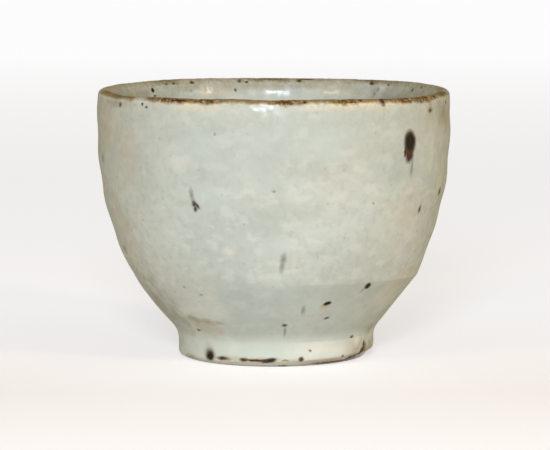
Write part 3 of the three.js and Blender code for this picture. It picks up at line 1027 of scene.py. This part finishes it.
def cone_tone_and_shade(tree, where, height, colour):
    """Thinner glaze and painted shade grey the turned cone, with an edge that fades out to the left."""
    across = add(tree, "SeparateXYZ", {"Vector": where})
    leftwards = ranged(across, FADE_START * MM, -TRIM_RADIUS * MM)
    blur = ranged(leftwards, 0, 1, CUT_CRISP, CUT_SOFT)
    most = ranged(leftwards, 0, 1, CONE_SHARE, LEFT_SHARE)
    share = maths("DIVIDE", maths("SUBTRACT", TRIM_HEIGHT, height), blur)
    share = add(tree, "Math", {0: share, 1: CUT_MIDDLE}, operation="ADD", use_clamp=True)
    return mixed(maths("MULTIPLY", share, most), colour, CONE_GREY_AND_SHADE)


print("the cone's tone changes within", CUT_CRISP, "to", CUT_SOFT, "mm")

# %% The glaze on each coat
ORANGE_PEEL = 1.8  # mm across the soft bumps of the fired surface
PEEL_DEPTH = 0.03
PEEL_LOW, PEEL_HIGH = 0.35, 0.65  # the noise that is smoothest and roughest
SATIN_SMOOTH, SATIN_ROUGH = 0.56, 0.68
GLOSS = 0.22  # in the puddles the glaze ran smooth
GLOSS_CORE, GLOSS_EDGE = 0.7, 1.4  # in half sizes of a puddle
FRONT_HALF = 90  # degrees to either side of the front
IRON_MATT = 0.85  # iron crystals dull the glass over a spot
puddles = [Mark(turn, height, 2 * reach, 2 * reach) for turn, height, reach, depth in PUDDLES]
for piece in (outside_glaze, inside_glaze, lip_glaze, foot_glaze):
    from_outside = piece is not inside_glaze
    shown = [mark for mark in puddles if (abs(mark.turn) < FRONT_HALF) == from_outside]
    paint(piece, "gloss", shown, from_outside, [outside_glaze if from_outside else inside_glaze])


def new_material(name, piece):
    """A named material on a piece, as its node tree, its Object coordinates and its shader."""
    material = bpy.data.materials.new(name)
    material.use_nodes = True
    piece.data.materials.append(material)
    tree = material.node_tree
    where = add(tree, "TexCoord", {}).node.outputs["Object"]
    return tree, where, tree.nodes["Principled BSDF"]


def glaze_colour(tree, where, layers, marks, from_outside, pieces):
    """A coat's colour: the milky glaze, its layers and its marks. Also gives its freckles and its iron."""
    height = painted(tree, "wheel_height")
    pits = freckled(tree, where)
    colour = stained(clouded_glaze(tree, where), pits, FRECKLE)
    for layer in layers:
        colour = layer(tree, where, height, colour)
    shaken = ragged(tree, where)
    for stain, places in marks:
        field = marks_field(tree, shaken, places, from_outside, pieces)
        colour = stained(colour, field, stain)
    return colour, pits, field  # the last field is the darkest stain's


def milky_glaze(name, piece, from_outside, layers, marks):
    """Satin stoneware glaze on one coat."""
    tree, where, shader = new_material(name, piece)
    surfaces = [piece, foot_clay, lip_glaze]
    colour, pits, iron = glaze_colour(tree, where, layers, marks, from_outside, surfaces)
    peel = noisy(where, ORANGE_PEEL, detail=1)
    relief = maths("ADD", peel, maths("MINIMUM", pits, 1))
    normal = add(tree, "Bump", {"Height": relief, "Distance": PEEL_DEPTH * MM})
    rough = ranged(peel, PEEL_LOW, PEEL_HIGH, SATIN_SMOOTH, SATIN_ROUGH)
    rough = ranged(painted(tree, "gloss"), GLOSS_CORE, GLOSS_EDGE, GLOSS, rough)
    matt = ranged(iron, IRON.edge, IRON.core, 0, IRON_MATT)
    rough = maths("MAXIMUM", rough, matt)
    fill(tree, shader, {"IOR": GLAZE_IOR, "Base Color": colour, "Roughness": rough, "Normal": normal})
    print(name, "has", len(tree.nodes), "nodes")


OUTSIDE_LAYERS = [cone_tone_and_shade, foot_pool, upper_greying, soft_stains(OUTSIDE_SOFT), lip_iron]
INSIDE_LAYERS = [floor_pool, soft_stains(INSIDE_SOFT), lip_iron]
FOOT_LAYERS = [foot_pool, foot_toast, soft_stains(FOOT_SOFT)]
LIP_LAYERS = [soft_stains(LIP_SOFT), lip_iron]
milky_glaze("milky_stoneware_glaze_outside", outside_glaze, True, OUTSIDE_LAYERS, OUTSIDE_MARKS)
milky_glaze("milky_stoneware_glaze_inside", inside_glaze, False, INSIDE_LAYERS, INSIDE_MARKS)
milky_glaze("milky_stoneware_glaze_foot", foot_glaze, True, FOOT_LAYERS, FOOT_MARKS)
milky_glaze("iron_breaking_glaze_lip", lip_glaze, True, LIP_LAYERS, LIP_MARKS)

# %% [markdown]
# ## Bare clay
# Stoneware clay where the glaze was wiped off: dry, matt and sandy, toasted brown by the flame, with
# fine grog. It has no gloss, so roughness is high, and the grog shows as pale and dark grains. On the
# outer edge of the ring a thin film of glaze is left, so there the colour is the glaze's own. Its lowest
# edge, where the ring meets the table, is darkened by a painted contact shadow.

# %% Fired stoneware
CLAY_BUFF = srgb("#c6b59c")
CLAY_TOAST = srgb("#a5825c")
CLAY_PALE = srgb("#d6d6ca")
CONTACT_SHADE = srgb("#574a37")
CONTACT_SHADE_HEIGHT = 0.3  # mm above the table that get a painted contact shadow
CLAY_ROUGH, FILM_ROUGH = 0.88, 0.45
CONTACT_SHADE_SHARE = 0.7
GROG, GROG_DEPTH = 0.7, 0.12
GROG_LOW, GROG_HIGH, GROG_SHARE = 0.5, 0.7, 0.6
TOAST_SIZE, TOAST_LOW, TOAST_HIGH = 9, 0.4, 0.65
FILM_START, FILM_FULL = 21.6, 22.4  # mm from the middle of the foot


def clay_colour(tree, where, grains):
    """Buff to toasted clay with pale grog."""
    toasted = ranged(noisy(where, TOAST_SIZE, detail=5), TOAST_LOW, TOAST_HIGH)
    colour = mixed(toasted, CLAY_BUFF, CLAY_TOAST)
    return mixed(ranged(grains, GROG_LOW, GROG_HIGH, 0, GROG_SHARE), colour, CLAY_PALE)


def glaze_film(tree, where):
    """How much of the film of glaze is left: none on the pad, all of it on the ring's outer edge."""
    flat = add(tree, "Mapping", {
        "Vector": where, "Location": (-FOOT_OFFSET * MM, 0, 0), "Scale": (1, 1, 0)})
    radius = add(tree, "VectorMath", {0: flat}, operation="LENGTH")
    return ranged(radius, FILM_START * MM, FILM_FULL * MM)


def bare_clay(name, piece, has_film):
    """Wiped and fired stoneware, with a film of glaze where one is left, and painted contact shadow under it.
    """
    tree, where, shader = new_material(name, piece)
    grains = noisy(where, GROG, detail=3)
    colour = clay_colour(tree, where, grains)
    fill(tree, shader, {"Roughness": CLAY_ROUGH})
    if has_film:
        film = glaze_film(tree, where)
        glaze = glaze_colour(tree, where, FOOT_LAYERS, FOOT_MARKS, True, [foot_glaze, piece])[0]
        colour = mixed(film, colour, glaze)
        # painted contact shadow: the film darkens over its lowest edge, next to the table
        edge = ranged(painted(tree, "wheel_height"), CONTACT_SHADE_HEIGHT, 0, 0, CONTACT_SHADE_SHARE)
        colour = mixed(maths("MULTIPLY", edge, film), colour, CONTACT_SHADE)
        fill(tree, shader, {"Roughness": ranged(film, 0, 1, CLAY_ROUGH, FILM_ROUGH)})
    normal = add(tree, "Bump", {"Height": grains, "Distance": GROG_DEPTH * MM})
    fill(tree, shader, {"Base Color": colour, "Normal": normal})
    print(name, "has", len(tree.nodes), "nodes")


bare_clay("bare_fired_stoneware_bowl", bowl_clay, False)
bare_clay("bare_fired_stoneware_foot", foot_clay, True)

# %% [markdown]
# ## Table, light and background
# The cup stands on white paper under a cool window in front and warmer room light all round, so it is
# bluest in the middle and warm at its sides. Where a camera or a reflection sees the paper, it is bright
# by itself and brighter far away, as a paper sweep is, but it keeps the shadow that the cup throws.

# %% Paper
PAPER_SIDE = 9
PAPER_WHITE, PAPER_ROUGH = srgb("#e4e1dc"), 0.9
PAPER_DROP = 0.00002  # the paper lies a hair under the pad
PAPER_NEAR, PAPER_FAR = -0.13, 1.4  # metres behind the middle of the cup
PAPER_GLOW = {0: "#b1b4bc", 0.045: "#abacb3", 0.085: "#b9bbc4", 0.14: "#c1c7d1", 0.4: "#c8ced9", 1: "#e1e6f0"}

sheet = bmesh.new()
bmesh.ops.create_grid(sheet, x_segments=1, y_segments=1, size=PAPER_SIDE / 2)
bmesh.ops.translate(sheet, verts=sheet.verts, vec=(0, 0, -PAPER_DROP))
mesh = bpy.data.meshes.new("paper_table")
sheet.to_mesh(mesh)
sheet.free()
table = put("paper_table", mesh)

tree, where, shader = new_material("white_paper", table)
split = add(tree, "SeparateXYZ", {"Vector": where}).node
depth = ranged(split.outputs["Y"], PAPER_NEAR, PAPER_FAR)
path = add(tree, "LightPath", {}).node.outputs
seen = maths("ADD", path["Is Camera Ray"], path["Is Glossy Ray"])
seen = maths("ADD", seen, path["Is Transmission Ray"])
fill(tree, shader, {"Base Color": PAPER_WHITE, "Roughness": PAPER_ROUGH})
fill(tree, shader, {"Emission Color": ramp(depth, PAPER_GLOW), "Emission Strength": seen})
print("paper", PAPER_SIDE, "m wide")

# %% Lights
def window(name, azimuth, elevation, distance, size, energy, colour):
    """A soft square light that faces the cup from a direction given in degrees, 0 in front, + right."""
    turn = math.radians(azimuth)
    lift = math.radians(elevation)
    way = Vector((math.sin(turn) * math.cos(lift), -math.cos(turn) * math.cos(lift), math.sin(lift)))
    light = bpy.data.lights.new(name, "AREA")
    light.size = size
    light.energy = energy
    light.color = srgb(colour)[:3]
    lamp = put(name, light)
    lamp.location = CAMERA_AIM + distance * way
    lamp.rotation_euler = way.to_track_quat("Z", "Y").to_euler()


LIGHTS = [  # azimuth and elevation, distance and size in metres, watts
    ("front_window", -3, 18, 0.8, 0.16, 4, "#e0ebff"),
    ("left_lamp", -46, 21, 0.9, 0.12, 0.9, "#ffe2b4"),
    ("right_lamp", 51, 21, 0.9, 0.12, 1.8, "#ffe2b4"),
]
for light in LIGHTS:
    window(*light)

ROOM = srgb("#eed9aa")
ROOM_LIGHT = 0.33
world = bpy.data.worlds.new("warm_room")
world.use_nodes = True
fill(world.node_tree, world.node_tree.nodes["Background"], {"Color": ROOM, "Strength": ROOM_LIGHT})
bpy.context.scene.world = world
bpy.context.scene.view_settings.view_transform = "Standard"
print(len(LIGHTS), "lights in a warm room")
